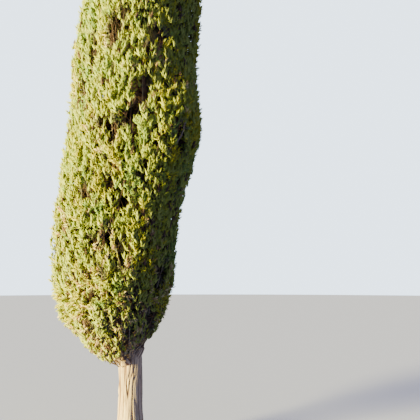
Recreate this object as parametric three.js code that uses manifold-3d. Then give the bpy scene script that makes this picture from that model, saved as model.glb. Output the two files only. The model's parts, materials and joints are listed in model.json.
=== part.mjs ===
// A Mediterranean cypress, 10 m tall, of the narrow upright kind: one whole trunk, steep boughs, and plumes of
// foliage that overlap upward like shingles. Each bough and each plume is a solid of its own. Millimetres, +Z up,
// +X to the right, -Y towards the viewer, and the origin at the centre of the flat cut at ground level.
import * as THREE from "three";
import { mergeVertices } from "three/addons/utils/BufferGeometryUtils.js";
import Module from "manifold-3d";

const wasm = await Module();
wasm.setup();

// Trunk: taper, root flare with its lobes, shallow ribs and the lean of its middle line
const treeHeight = 10000;
const trunkHeight = 8350;
const trunkRadiusLow = 122;
const trunkRadiusTip = 9;
const trunkTaper = 0.9;
const trunkSides = 14;
const footLevels = [0, 60, 140, 260, 420, 620, 850, 1100];
const stemLevelSpacing = 560;
const flareReach = 70;
const flareHeight = 170;
const rootLobes = 5;
const lobeDepth = 0.35;
const lobeTurn = 0.6;
const ribs = 3;
const ribDepth = 0.035;
const ribTwist = 900;
const ribsEnd = 4000;
const leanSideways = -70;
const leanDepth = 30;
const leanSpan = 5200;
const depthSpan = 3640;

// Crown outline: height, reach to the left and reach to the right of the trunk's line
const crownOutline = [
  [780, 110, 90],
  [1000, 400, 170],
  [1300, 660, 340],
  [1700, 815, 460],
  [2200, 850, 510],
  [2700, 815, 620],
  [3300, 770, 710],
  [4250, 745, 695],
  [4900, 695, 690],
  [5800, 615, 610],
  [6800, 500, 490],
  [7700, 375, 375],
  [8600, 265, 255],
  [9350, 165, 155],
  [treeHeight, 45, 45],
];
const crownWaves = [
  { depth: 0.035, round: 3, rise: 700 },
  { depth: 0.025, round: 5, rise: -430 },
];

// Tiers of plumes: plumes in the tier, height of its lower skin at the trunk and at the crown's face,
// how far the tips of the plumes below rise into it, and sprays on each plume
const tiers = [
  { plumes: 5, root: 780, shoulder: 860, points: 60, sprays: 8 },
  { plumes: 5, root: 1250, shoulder: 2250, points: 220, sprays: 8 },
  { plumes: 5, root: 2350, shoulder: 3450, points: 240, sprays: 8 },
  { plumes: 5, root: 3500, shoulder: 4600, points: 240, sprays: 8 },
  { plumes: 5, root: 4650, shoulder: 5700, points: 220, sprays: 8 },
  { plumes: 4, root: 5750, shoulder: 6800, points: 200, sprays: 7 },
  { plumes: 3, root: 6750, shoulder: 7850, points: 180, sprays: 7 },
  { plumes: 1, root: 8365, shoulder: 8920, points: 110, sprays: 11 },
];
const tiersWithBoughs = 4;
const firstAzimuth = 0.77;
const tierTurn = Math.PI / 5;
const aboveCrown = treeHeight + 500;

// Boughs: thickness as a share of the trunk's, taper, and the knee where they bend up
const touchGap = 0.3;
const boughShare = 0.42;
const boughTaper = 0.5;
const boughRise = 300;
const boughFootMargin = 40;
const boughTipMargin = 12;
const boughSides = 5;
const boughSteps = 4;
const kneeAcross = 0.62;
const kneeUp = 0.4;

// The stem inside a plume, and the twigs that leave it
const stemSides = 3;
const stemShare = 0.55;
const stemStart = 0.9;
const stemDrop = 90;
const stemWidth = 14;
const stemTipWidth = 5;
const stemTop = 0.93;
const twigRadius = 7;
const twigRise = 1.3;

// Plumes: clearance to the walls of their space, least room at the foot, and sections of the core
const wallGap = 9;
const leastShare = 0.12;
const footAllowance = 300;
const heightStep = 20;
const coreLevels = 6;
const coreTurns = [0.45, 1.3, 2.6, -2.6, -1.3, -0.45];
const coreFill = 0.85;
const coreFaceSetBack = 0.32;
const coreFoot = { size: 0.5, share: 0.2 };
const coreTip = { size: 0.3, share: 0.3 };

// How finely a plume's walls are felt for
const wallStep = 24;
const wallReach = 1500;
const wallHalvings = 5;

// Sprays: toothed blades with three points, given across and along, thick at a rib
const sprayOutline = [
  [0, 0],
  [1, 0.72],
  [0.4, 0.58],
  [0, 1],
  [-0.4, 0.54],
  [-1, 0.64],
];
const sprayLength = 640;
const sprayHalfWidth = 0.21;
const sprayHalfThickness = 0.085;
const sprayRib = 0.42;
const sprayTilt = 0.34;
const sprayRoot = 0.68;
const spraySink = 0.2;
const sprayTries = 6;
const sprayShrink = 0.11;
const goldenShare = 0.618;
const leaderTurn = 2.4;
const plumeSwing = 1.5;

function seeded(seed) {
  let state = seed >>> 0;
  return () => {
    state = (state + 0x6d2b79f5) >>> 0;
    let mixed = Math.imul(state ^ (state >>> 15), state | 1);
    mixed ^= mixed + Math.imul(mixed ^ (mixed >>> 7), mixed | 61);
    return ((mixed ^ (mixed >>> 14)) >>> 0) / 4294967296;
  };
}

const clamp = (value) => Math.min(1, Math.max(0, value));
const smooth = (value) => clamp(value) ** 2 * (3 - 2 * clamp(value));
const outward = (azimuth) => new THREE.Vector3(Math.cos(azimuth), Math.sin(azimuth), 0);

function trunkLine(height) {
  const fading = clamp(1 - height / trunkHeight);
  return new THREE.Vector3(
    leanSideways * Math.sin((Math.PI * height) / leanSpan) * fading,
    leanDepth * Math.sin((Math.PI * height) / depthSpan) * fading,
    height,
  );
}

function trunkRadius(height, azimuth) {
  const stem = trunkRadiusTip + (trunkRadiusLow - trunkRadiusTip) * clamp(1 - height / trunkHeight) ** trunkTaper;
  const lobe = 1 + lobeDepth * Math.cos(rootLobes * azimuth + lobeTurn);
  const ribbed = 1 + ribDepth * Math.cos(ribs * azimuth + height / ribTwist) * clamp(1 - height / ribsEnd);
  return stem * ribbed + flareReach * lobe * Math.exp(-height / flareHeight);
}

// How far the crown stands out from the trunk's line at a height, in one direction
function crownReach(height, azimuth) {
  const next = crownOutline.findIndex(([level]) => level >= height);
  const above = crownOutline[next < 0 ? crownOutline.length - 1 : Math.max(next, 1)];
  const below = crownOutline[crownOutline.indexOf(above) - 1];
  const share = clamp((height - below[0]) / (above[0] - below[0]));
  const left = below[1] + (above[1] - below[1]) * share;
  const right = below[2] + (above[2] - below[2]) * share;
  const waves = crownWaves.map(({ depth, round, rise }) => depth * Math.sin(round * azimuth + height / rise));
  const wavy = waves.reduce((sum, wave) => sum + wave, 1);
  return ((left + right) / 2 + ((right - left) / 2) * Math.cos(azimuth)) * wavy;
}

const tierAzimuth = (tier) => firstAzimuth + tier * tierTurn;

// The lower skin of a tier rises from the trunk to the crown's face, and is scalloped by the plumes below
function lowerSkin(tier, share, azimuth) {
  if (tier >= tiers.length) return aboveCrown;
  const { root, shoulder, points } = tiers[tier];
  const plumesBelow = tiers[Math.max(tier - 1, 0)].plumes;
  const scallop = points * share * Math.cos(plumesBelow * (azimuth - tierAzimuth(tier - 1)));
  return root + (shoulder - root) * share + scallop;
}

// Where a tier's lower skin passes a height, as a share of the crown's reach
function skinShare(tier, height, azimuth) {
  if (tier >= tiers.length) return 0;
  const root = lowerSkin(tier, 0, azimuth);
  return clamp((height - root) / (lowerSkin(tier, 1, azimuth) - root));
}

function turnBetween(a, b) {
  const turn = (a - b) % (2 * Math.PI);
  if (turn > Math.PI) return turn - 2 * Math.PI;
  return turn < -Math.PI ? turn + 2 * Math.PI : turn;
}

// Each plume keeps to its own space: a sector of the crown between two skins, clear of the trunk
function isInside(space, point) {
  const line = trunkLine(point.z);
  const radius = Math.hypot(point.x - line.x, point.y - line.y);
  const azimuth = Math.atan2(point.y - line.y, point.x - line.x);
  const share = radius / crownReach(point.z, azimuth);
  if (point.z > treeHeight || share > 1) return false;
  if (point.z < trunkHeight + wallGap && radius < trunkRadius(point.z, azimuth) + wallGap) return false;
  const { plumes } = tiers[space.tier];
  const turn = Math.min(Math.abs(turnBetween(azimuth, space.azimuth)), Math.PI / plumes);
  if (plumes > 1 && radius * Math.sin(Math.PI / plumes - turn) < wallGap) return false;
  if (point.z < lowerSkin(space.tier, share, azimuth) + 2 * wallGap) return false;
  return point.z < lowerSkin(space.tier + 1, share, azimuth) - 2 * wallGap;
}

// The middle of a plume's space at a height
function middle(space, height) {
  const reach = crownReach(height, space.azimuth);
  const line = trunkLine(height);
  if (tiers[space.tier].plumes === 1) return line;
  const trunkShare = trunkRadius(height, space.azimuth) / reach;
  const inner = Math.max(skinShare(space.tier + 1, height, space.azimuth), trunkShare);
  const outer = skinShare(space.tier, height, space.azimuth);
  return line.addScaledVector(outward(space.azimuth), (reach * (inner + outer)) / 2);
}

function wallDistance(space, from, direction) {
  const insideAt = (distance) => isInside(space, from.clone().addScaledVector(direction, distance));
  let reached = 0;
  while (reached < wallReach && insideAt(reached + wallStep)) reached += wallStep;
  let tooFar = reached + wallStep;
  for (let halving = 0; halving < wallHalvings; halving += 1) {
    const between = (reached + tooFar) / 2;
    if (insideAt(between)) reached = between;
    else tooFar = between;
  }
  return reached;
}

// The heights between which a plume has room for its core
function foliageSpan(space) {
  const out = outward(space.azimuth);
  const roomAt = (height) => {
    const centre = middle(space, height);
    if (!isInside(space, centre)) return 0;
    return Math.min(wallDistance(space, centre, out), wallDistance(space, centre, out.clone().negate()));
  };
  let low = tiers[space.tier].root;
  const least = leastShare * crownReach(low + footAllowance, space.azimuth);
  while (roomAt(low) < least) low += heightStep;
  let high = low + heightStep;
  while (roomAt(high + heightStep) > least / 3) high += heightStep;
  return { low, high };
}

function solidFrom(corners, faces) {
  const geometry = new THREE.BufferGeometry().setFromPoints(corners);
  geometry.setIndex(faces);
  const merged = mergeVertices(geometry, 1e-3);
  return new wasm.Manifold(
    new wasm.Mesh({
      numProp: 3,
      vertProperties: merged.attributes.position.array,
      triVerts: new Uint32Array(merged.index.array),
    }),
  );
}

// Closed skin over rings of points, each ring counterclockwise seen from above
function loft(rings) {
  const sides = rings[0].length;
  const last = (rings.length - 1) * sides;
  const faces = [];
  for (let ring = 0; ring + 1 < rings.length; ring += 1) {
    for (let side = 0; side < sides; side += 1) {
      const a = ring * sides + side;
      const b = ring * sides + ((side + 1) % sides);
      faces.push(a, b, b + sides, a, b + sides, a + sides);
    }
  }
  for (let side = 1; side + 1 < sides; side += 1) {
    faces.push(0, side + 1, side, last, last + side, last + side + 1);
  }
  return solidFrom(rings.flat(), faces);
}

// A tapering limb along a list of points
function limb(points, radii, sides) {
  const up = new THREE.Vector3(0, 0, 1);
  const rings = points.map((point, index) => {
    const ahead = points[Math.min(index + 1, points.length - 1)];
    const behind = points[Math.max(index - 1, 0)];
    const turn = new THREE.Quaternion().setFromUnitVectors(up, ahead.clone().sub(behind).normalize());
    return Array.from({ length: sides }, (_, side) =>
      outward((2 * Math.PI * side) / sides).multiplyScalar(radii[index]).applyQuaternion(turn).add(point),
    );
  });
  return loft(rings);
}

function trunkSolid(clearance) {
  const heights = [...footLevels];
  while (heights.at(-1) < trunkHeight) heights.push(Math.min(heights.at(-1) + stemLevelSpacing, trunkHeight));
  const sidesAt = Array.from({ length: trunkSides }, (_, side) => (2 * Math.PI * side) / trunkSides);
  const rings = heights.map((height) =>
    sidesAt.map((azimuth) =>
      trunkLine(height).addScaledVector(outward(azimuth), trunkRadius(height, azimuth) + clearance),
    ),
  );
  if (clearance > 0) rings.at(-1).forEach((corner) => corner.setZ(trunkHeight + clearance));
  return loft(rings);
}

// A bough leaves the trunk steeply, bends up at a knee and ends under its plume
function boughLine(space) {
  const foot = trunkLine(Math.max(space.span.low - boughRise, tiers[space.tier].root + boughFootMargin));
  const tip = middle(space, space.span.low).setZ(space.span.low - boughTipMargin);
  const knee = foot.clone().lerp(tip, kneeAcross).setZ(foot.z + (tip.z - foot.z) * kneeUp);
  return new THREE.QuadraticBezierCurve3(foot, knee, tip);
}

function boughRadius(space, share) {
  const base = boughShare * trunkRadius(boughLine(space).v0.z, space.azimuth);
  return base * (1 - (1 - boughTaper) * share);
}

function boughSolid(space, clearance) {
  const points = boughLine(space).getPoints(boughSteps);
  const tipwards = points.at(-1).clone().sub(points.at(-2)).normalize();
  points.at(-1).addScaledVector(tipwards, clearance);
  const radii = points.map((_, index) => boughRadius(space, index / boughSteps) + clearance);
  return limb(points, radii, boughSides);
}

// The stem of a plume starts at its bough's tip or at the trunk, and runs up inside the core
function stemSolid(space) {
  const { low, high } = space.span;
  const top = middle(space, low + (high - low) * stemTop);
  const bend = middle(space, low + boughFootMargin);
  if (space.tier < tiersWithBoughs) {
    const start = boughLine(space).getPoint(stemStart);
    return limb([start, bend, top], [boughRadius(space, 1) * 0.8, stemWidth, stemTipWidth], stemSides);
  }
  const start = trunkLine(Math.min(low - stemDrop, trunkHeight - 4));
  const width = stemShare * trunkRadius(start.z, space.azimuth);
  return limb([start, bend, top], [width, Math.min(width, stemWidth), stemTipWidth], stemSides);
}

// The dense inside of a plume: sections that fill its space, set back at the face and rounded off at both ends
function coreSolid(space) {
  const { low, high } = space.span;
  const rings = Array.from({ length: coreLevels }, (_, level) => {
    const share = level / (coreLevels - 1);
    const centre = middle(space, low + (high - low) * share);
    const footSwell = coreFoot.size + (1 - coreFoot.size) * smooth(share / coreFoot.share);
    const tipSwell = 1 - (1 - coreTip.size) * smooth((share - 1 + coreTip.share) / coreTip.share);
    return coreTurns.map((turn) => {
      const direction = outward(space.azimuth + turn);
      const fill = (coreFill - coreFaceSetBack * Math.max(0, Math.cos(turn))) * footSwell * tipSwell;
      return centre.clone().addScaledVector(direction, wallDistance(space, centre, direction) * fill);
    });
  });
  return loft(rings);
}

// The corners of a spray's blade: its outline, then the rib's front and back
function sprayCorners(root, direction, face, length) {
  const side = new THREE.Vector3().crossVectors(direction, face).normalize();
  const front = new THREE.Vector3().crossVectors(side, direction).normalize();
  const corners = sprayOutline.map(([across, along]) =>
    root
      .clone()
      .addScaledVector(side, across * sprayHalfWidth * length)
      .addScaledVector(direction, along * length),
  );
  const rib = root.clone().addScaledVector(direction, sprayRib * length);
  corners.push(rib.clone().addScaledVector(front, sprayHalfThickness * length));
  corners.push(rib.clone().addScaledVector(front, -sprayHalfThickness * length));
  return corners;
}

function spraySolid(corners) {
  const points = sprayOutline.length;
  const faces = [];
  for (let index = 0; index < points; index += 1) {
    const next = (index + 1) % points;
    faces.push(index, next, points, next, index, points + 1);
  }
  return solidFrom(corners, faces);
}

function fits(space, corners) {
  const heart = corners.at(-1).clone().add(corners.at(-2)).divideScalar(2);
  return corners.every(
    (corner) => isInside(space, corner) && isInside(space, corner.clone().lerp(heart, 0.5)),
  );
}

// Twigs fork from the plume's stem at seeded heights and climb outward, each to a spray.
// A spray that would leave the plume's space is tried smaller and lower, and then skipped.
function twigsAndSprays(space, random) {
  const { low, high } = space.span;
  const { sprays, plumes } = tiers[space.tier];
  const sizeHere = sprayLength * Math.min(1, 0.45 + (treeHeight - low) / 7000);
  const made = [];
  for (let twig = 0; twig < sprays; twig += 1) {
    const share = (twig + 0.3 + 0.4 * random()) / sprays;
    const sweep = plumes === 1 ? 0 : (twig * goldenShare + 0.2 * random()) % 1;
    const swing = plumes === 1 ? leaderTurn * twig : plumeSwing * (2 * sweep - 1);
    const size = sizeHere * (0.85 + 0.3 * random());
    for (let attempt = 0; attempt < sprayTries; attempt += 1) {
      const shrink = 1 - sprayShrink * attempt;
      const height = low + (high - low) * (0.04 + 0.93 * share) - 2 * heightStep * attempt;
      const centre = middle(space, height);
      const out = outward(space.azimuth + swing * shrink);
      const length = Math.min(size * shrink, treeHeight - height);
      const away = wallDistance(space, centre, out) * (sprayRoot - 0.04 * attempt);
      const root = centre.clone().addScaledVector(out, away).setZ(height - spraySink * length);
      const direction = out.clone().multiplyScalar(sprayTilt * shrink).setZ(1).normalize();
      const corners = sprayCorners(root, direction, out, length);
      if (fits(space, corners)) {
        const fork = middle(space, Math.max(root.z - twigRise * away, low + boughFootMargin));
        const end = root.clone().addScaledVector(direction, spraySink * length);
        made.push(limb([fork, end], [2 * twigRadius, twigRadius], stemSides), spraySolid(corners));
        break;
      }
    }
  }
  return made;
}

function plumeSolid(space, trunkKeepOut) {
  const random = seeded(1000 * space.tier + 37 * space.index + 11);
  const parts = [coreSolid(space), stemSolid(space), ...twigsAndSprays(space, random)];
  let joined = parts.reduce((whole, part) => whole.add(part)).subtract(trunkKeepOut);
  if (space.tier < tiersWithBoughs) joined = joined.subtract(boughSolid(space, touchGap));
  return joined.decompose().reduce((best, body) => (body.volume() > best.volume() ? body : best));
}

function meshOf(solid, name, material) {
  const { vertProperties, triVerts } = solid.getMesh();
  const geometry = new THREE.BufferGeometry();
  geometry.setAttribute("position", new THREE.BufferAttribute(vertProperties, 3));
  geometry.setIndex(new THREE.BufferAttribute(triVerts, 1));
  geometry.computeVertexNormals();
  const mesh = new THREE.Mesh(geometry, material);
  mesh.name = name;
  return mesh;
}

function spacesOfCrown() {
  return tiers.flatMap(({ plumes }, tier) =>
    Array.from({ length: plumes }, (_, index) => {
      const space = { tier, index, azimuth: tierAzimuth(tier) + (2 * Math.PI * index) / plumes };
      space.span = foliageSpan(space);
      return space;
    }),
  );
}

function foliageMaterial(space) {
  const color = new THREE.Color().setHSL(0.19 + 0.03 * Math.sin(7 * space.azimuth), 0.34, 0.3);
  return new THREE.MeshStandardMaterial({ color, roughness: 0.8, metalness: 0 });
}

function buildTree() {
  const bark = new THREE.MeshStandardMaterial({ color: 0x8a7460, roughness: 0.92, metalness: 0 });
  const boughBark = new THREE.MeshStandardMaterial({ color: 0x7a5f4a, roughness: 0.9, metalness: 0 });
  const tree = new THREE.Group();
  tree.add(meshOf(trunkSolid(0), "trunk", bark));
  const trunkKeepOut = trunkSolid(touchGap);
  for (const space of spacesOfCrown()) {
    const label = space.tier === tiers.length - 1 ? "leader" : `tier${space.tier + 1}_${space.index + 1}`;
    if (space.tier < tiersWithBoughs) {
      const bough = boughSolid(space, 0).subtract(trunkKeepOut);
      tree.add(meshOf(bough, `bough_${label}`, boughBark));
    }
    tree.add(meshOf(plumeSolid(space, trunkKeepOut), `plume_${label}`, foliageMaterial(space)));
  }
  return tree;
}

export default buildTree();
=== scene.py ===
"""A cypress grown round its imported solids: trunk, boughs, twigs, inner foliage and sprigs."""
import functools
import json
import math
from collections import namedtuple
from dataclasses import dataclass, replace

import bpy
import numpy as np
from bpy.props import FloatProperty, FloatVectorProperty, IntProperty, PointerProperty
from bpy.types import NodeSocket, Operator, Panel, PropertyGroup
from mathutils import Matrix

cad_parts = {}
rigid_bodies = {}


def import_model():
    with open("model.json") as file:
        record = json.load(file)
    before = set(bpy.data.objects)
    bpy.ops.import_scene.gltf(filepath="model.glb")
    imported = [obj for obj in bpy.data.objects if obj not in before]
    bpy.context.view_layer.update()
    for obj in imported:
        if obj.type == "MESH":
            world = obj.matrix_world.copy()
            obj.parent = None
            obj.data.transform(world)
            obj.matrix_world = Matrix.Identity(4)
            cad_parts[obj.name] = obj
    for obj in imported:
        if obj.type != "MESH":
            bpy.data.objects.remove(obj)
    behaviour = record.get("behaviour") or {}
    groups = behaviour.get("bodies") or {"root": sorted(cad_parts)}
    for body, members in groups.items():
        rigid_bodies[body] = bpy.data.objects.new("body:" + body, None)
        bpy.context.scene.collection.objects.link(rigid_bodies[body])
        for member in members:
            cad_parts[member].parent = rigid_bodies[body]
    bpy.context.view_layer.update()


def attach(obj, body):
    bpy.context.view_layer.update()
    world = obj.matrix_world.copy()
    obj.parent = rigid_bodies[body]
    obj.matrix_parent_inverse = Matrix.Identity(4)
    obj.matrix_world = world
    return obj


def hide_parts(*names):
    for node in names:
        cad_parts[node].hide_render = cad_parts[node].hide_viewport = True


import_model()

bl_info = {
    "name": "Cypress Grower",
    "version": (1, 0, 0),
    "blender": (4, 5, 0),
    "location": "View3D > Sidebar > Cypress",
    "description": "Grows a narrow upright cypress with bark relief, twigs and sprigs of scale leaves",
    "category": "Add Mesh",
}

# Trunk, in metres, on the same line and taper as its solid
TREE_HEIGHT = 10.0
TRUNK_HEIGHT = 8.35
TRUNK_RADIUS_LOW = 0.122
TRUNK_RADIUS_TIP = 0.009
TRUNK_TAPER = 0.9
FLARE_REACH = 0.07
FLARE_HEIGHT = 0.17
ROOT_LOBES = 5
LOBE_DEPTH = 0.35
LOBE_TURN = 0.6
RIBS = 3
RIB_DEPTH = 0.035
RIB_TWIST = 0.9
RIBS_END = 4.0
LEAN_SIDEWAYS = -0.07
LEAN_DEPTH = 0.03
LEAN_SPAN = 5.2
DEPTH_SPAN = 3.64

# Crown outline: height, reach to the left and reach to the right of the trunk's line
CROWN_OUTLINE = np.array([
    (0.78, 0.110, 0.090),
    (1.00, 0.400, 0.170),
    (1.30, 0.660, 0.340),
    (1.70, 0.815, 0.460),
    (2.20, 0.850, 0.510),
    (2.70, 0.815, 0.620),
    (3.30, 0.770, 0.710),
    (4.25, 0.745, 0.695),
    (4.90, 0.695, 0.690),
    (5.80, 0.615, 0.610),
    (6.80, 0.500, 0.490),
    (7.70, 0.375, 0.375),
    (8.60, 0.265, 0.255),
    (9.35, 0.165, 0.155),
    (TREE_HEIGHT, 0.045, 0.045),
])
CROWN_WAVES = ((0.035, 3, 0.7), (0.025, 5, -0.43))


@dataclass(frozen=True)
class Tier:
    """Plumes round the trunk: the height of their lower skin at the trunk and at the crown's face."""
    plumes: int
    root: float
    shoulder: float
    points: float


TIERS = (
    Tier(5, 0.780, 0.860, 0.06),
    Tier(5, 1.250, 2.250, 0.22),
    Tier(5, 2.350, 3.450, 0.24),
    Tier(5, 3.500, 4.600, 0.24),
    Tier(5, 4.650, 5.700, 0.22),
    Tier(4, 5.750, 6.800, 0.20),
    Tier(3, 6.750, 7.850, 0.18),
    Tier(1, 8.365, 8.920, 0.11),
)
TIERS_WITH_BOUGHS = 4
FIRST_AZIMUTH = 0.77
TIER_TURN = math.pi / 5
ABOVE_CROWN = TREE_HEIGHT + 0.5

# Boughs and the room that a plume needs
BOUGH_SHARE = 0.42
BOUGH_TAPER = 0.5
BOUGH_RISE = 0.3
BOUGH_FOOT_MARGIN = 0.04
BOUGH_TIP_MARGIN = 0.012
KNEE_ACROSS = 0.62
KNEE_UP = 0.4
WALL_GAP = 0.009
LEAST_SHARE = 0.12
CRAMPING = 3
FOOT_ALLOWANCE = 0.3
HEIGHT_STEP = 0.02
WALL_STEP = 0.024
WALL_REACH = 1.0
WALL_HALVINGS = 5

# Axes: a steep heading takes another helper than UP for its sides, and no tube runs ASIDE
UP = np.array([0, 0, 1.0])
STEEP = 0.9
ASIDE = (0.31, 0.95, 0.02)
TINY = 1e-9

# Places spread over the crown's face by golden turns
GOLDEN_SHARE = (math.sqrt(5) - 1) / 2
GOLDEN_TURN = 2.4
LATTICE_SEED = 20
LATTICE_LEVELS = 600
LATTICE_JITTER = 0.3
CROWN_FOOT = 0.86
TOP_MARGIN = 0.05
LEADER_LEVELS = (8.2, 9.5)
LEADER_DENSITY = 3.0

# The crown's face. A swell: azimuth, height, span, depth. A noise: seed, cells round, height of a cell
FACE_SHARE = 0.985
SKIRT_SHARE = 1.05
SKIRT_LEVELS = (1.3, 1.8)
SWELLS = (
    (-2.85, 0.84, 0.16, 0.30),
    (0.0, 3.3, 0.5, 0.12),
    (0.0, 2.5, 0.35, -0.03),
    (math.pi, 4.25, 0.35, 0.06),
    (math.pi, 3.3, 0.6, -0.03),
    (math.pi, 1.2, 0.3, 0.08),
)
TIP_LEVELS = (9.3, 10.0)
TIP_SHARE = 0.4
LUMP_DEPTH = 0.08
LUMP_NOISE = (40, 9, 0.42)
RIDGE_DEPTH = 0.09
RIDGE_NOISE = (41, 29, 0.5)
SLOPE_STEP = 0.05
SLOPE_LIMITS = (-0.2, 1.3)
FOLIAGE_FOOT = 0.93
FOLIAGE_FOOT_SLANT = 0.12
SKIRT_DROOP = 1.1
DROOP_LEVELS = (1.05, 1.75)

# Hollows, browned patches, and greener patches that are partly painted shade
PATCH_EDGE = 1.6
HOLLOW_EDGE = 0.36
HOLLOW_FLOOR = 0.72
FRONT_AZIMUTH = -1.75
FRONT_HALF_TURN = 0.95
FRONT_TOP = 4.5
PLACES_SEED = 8
PLACES_LEVELS = (1.2, 8.4)
PLACE_SIZES = (0.5, 1.3)
PLACE_WIDTHS = (0.6, 1.2)
PLACE_LEAN = 0.6
FULL_REACH = 0.8

# Stems of the plumes, and the twigs from them to the shoots
STEM_TOP = 0.93
STEM_START = 0.9
STEM_DROP = 0.09
STEM_SHARE = 0.55
STEM_LEVELS = 7
STEM_SIDES = 6
STEM_CLIMBS = (0, 0.15, 1)
STEM_RADII = (0.013, 0.005)
STEM_TOP_GAP = 0.004
TWIG_RISE = 1.3
TWIG_BEND = 0.65
TWIG_SAG = 0.12
TWIG_SET_BACK = 0.05
TWIG_SIDES = 4
DEAD_TWIGS = 1.3

# Shoots at the crown's face
SHOOT_LIFT = 0.945
SHOOT_LIFT_SPREAD = 0.04
SHOOT_LENGTHS = (0.75, 1.25)
SHOOT_LEAST = 0.55
SHOOT_PER_REACH = 0.8
SHOOT_FOOT_ROOM = 0.06
SHOOT_TILT = 0.2
SHOOT_TILTS = (0.4, 1.4)
SHOOT_SWAY = 0.13
SHOOT_RADII = np.array([0.008, 0.0065, 0.0045, 0.003, 0.0012])

# Whorls: tufts on the shoots and sprigs on the tufts, with leans in degrees from foot to tip
WHORL_LEAST = 3
WHORL_REACH = 0.94
WHORL_CLIMBS = (0.2, 0.8)
WHORL_TURN_SPREAD = 0.8
WHORL_PARENT_TURN = 1.7
WHORL_LEAN_SPREAD = 8
WHORL_LENGTHS = (0.78, 1.22)
TUFT_SEED = 3
TUFT_LEANS = (58, 16)
TUFT_SHARES = np.array([1.2, 0.75])
TUFT_SET_BACK = 0.02
TUFT_SIDES = 3
TUFT_RADII = np.array([0.0022, 0.0008])
SPRIG_SEED = 5
SPRIG_LEANS = (58, 18)
SPRIG_SHARES = np.array([1.15, 0.85])
SPRIG_RISE = 0.3
SPRIG_DROOP = 1.3
SPRIG_OVERSHOOT = 0.025
SPRIG_KINDS = 5
SPRIG_ROLL_SEED = 17
SHORTENINGS = 3
SHORTENED = 0.75
HIDDEN_DEPTHS = (0.085, 0.16)
LEAST_KEPT = 0.06

# A sprig's branchlets: lean in degrees and length at its foot, the loss up to its tip, and spread
BRANCHLET_LEAN = (50, 44, 9)
BRANCHLET_LENGTH = (0.66, 0.16, 0.08)
BRANCHLET_TURN_SPREAD = 0.4
BRANCHLET_TIP_RISE = 0.08
RACHIS_LENGTH = 0.54
CORNER_TURN = 0.5

# Inner sprays in three layers, from the face inward
INNER_LIFTS = (0.885, 0.68, 0.42)
INNER_SPACINGS = (0.44, 1.0, 1.6)
INNER_LENGTHS = (0.26, 1.0, 1.3)
INNER_BROWN_SHARES = (0.08, 0.4, 0.5)
INNER_SEED = 7
INNER_ROLL_SEED = 13
INNER_ROLL = 0.5
INNER_TILTS = (-0.1, 0.35)
INNER_SWAY = 0.25
INNER_LIFT_SPREAD = 0.05
INNER_LENGTH_SPREAD = (0.7, 1.2)
INNER_LEAST = 0.4
INNER_TIP_REACHES = (0.05, 0.3)
INNER_TIP_SHARE = 0.15
INNER_FOOT_GAP = 0.02
BLADE_SWEEP = (0.25, 0.7)
BLADE_RIB = 0.45
TOOTH_RISE = 0.1
TOOTH_NOTCH = 0.35
TOOTH_DROP = 0.04

# Browning: base share, waves by x, y, z and shift, patches, the foot and hanging streaks. Pale tan
# leaves towards the foot are partly painted light
BROWN_BASE = 0.12
BROWN_WAVES = ((5.1, 0, 3.3, 0), (0, 6.3, -2.7, 1.0), (3.9, -4.4, 4.2, 0))
BROWN_WAVE_SHARE = 0.2
BROWN_WAVE_FLOOR = 0.35
BROWN_PATCH_SHARE = 0.7
BROWN_FOOT_LEVELS = (0.9, 1.6)
BROWN_FOOT_RADII = (0.05, 0.55)
# Tan leaves dealt more often lower down: partly withered foliage, partly painted light on the lower
# crown
DRY_AND_PAINTED_LIGHT_LEVELS = (0.9, 1.3, 2.3)
DRY_AND_PAINTED_LIGHT_SHARES = (0.9, 0.75, 0.08)
DRY_NOISE = (52, 26, 1.1)
DRY_CONTRAST = 2.2
DRY_THRESHOLD = 0.5
DRY_FLOOR = 0.3

# Leaf colours, dealt out by warmth: waves by height, azimuth and shift, and steps between the colours
COLOUR_SEED = 9
DEAD_SEED = 19
WARMTH_WAVES = ((3.1, 4, 0.0), (7.7, -3, 2.0))
WARMTH_WAVE_SHARE = 0.4
WARMTH_BY_SHOOT = 0.55
WARMTH_BY_SPRIG = 0.35
WARMTH_BASE = 0.1
# Painted shade: leaf colours darken with depth inside the crown
PAINTED_SHADE_BY_DEPTH = 6.5
WARMTH_LEVEL = 0.86
WARMTH_STEPS = (-1.7, -0.8, 0.1, 0.95)
# Painted shade in and round the hollows: darker leaf colours, and leaf_shade for some
HOLLOW_PAINTED_SHADE = 1.2
# Partly painted shade: darker, greener leaves in the green patches
PATCH_GREENING_AND_SHADE = 2.0
RIM_SHADE = 2.0
BROWN_IN_TUFT = 0.8
RUST_SHARE = 0.4
LEAF_FINISHES = (
    "leaf_deep", "leaf_green", "leaf_olive", "leaf_yellow", "leaf_gold", "leaf_tan", "leaf_rust",
    "leaf_shade",
)
DRY_FINISH = 5
SHADE_FINISH = 7
INNER_FINISHES = ("inner_green", "inner_dark", "inner_brown")

# Bark relief. Its cells: how many round the limb, and the height of one
BARK_SEED = 60
TRUNK_SIDES = 192
TRUNK_LEVELS = 330
TRUNK_STRIPS = 20
RELIEF_TOP = 1.15
RELIEF_SIZES = (0.2, 1.2)
FURROW_DEPTH = 0.011
FURROW_WIDTH = 0.2
FIBRE_DEPTH = 0.003
FIBRE_RISE = 0.06
FIBRES_IN_STRIP = 5
STRIP_SWAY = 0.55
STRIP_RISE = 0.4
SWAY_CELLS = (5, 0.55)
CRACK_RISE = 0.2
CRACK_SHARE = 0.55
BARK_LUMP_CELLS = (6, 0.35)
BARK_LUMP_DEPTH = 0.012
BOUGH_SIDES = 28
BOUGH_LEVELS = 60
BOUGH_STRIPS = 9
BOUGH_COLLAR = 0.35
BOUGH_COLLAR_LENGTH = 0.12
BOUGH_STEP = 0.01
BOUGH_FURROW_SHARE = 0.1
BOUGH_FIBRE_SHARE = 0.03

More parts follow.
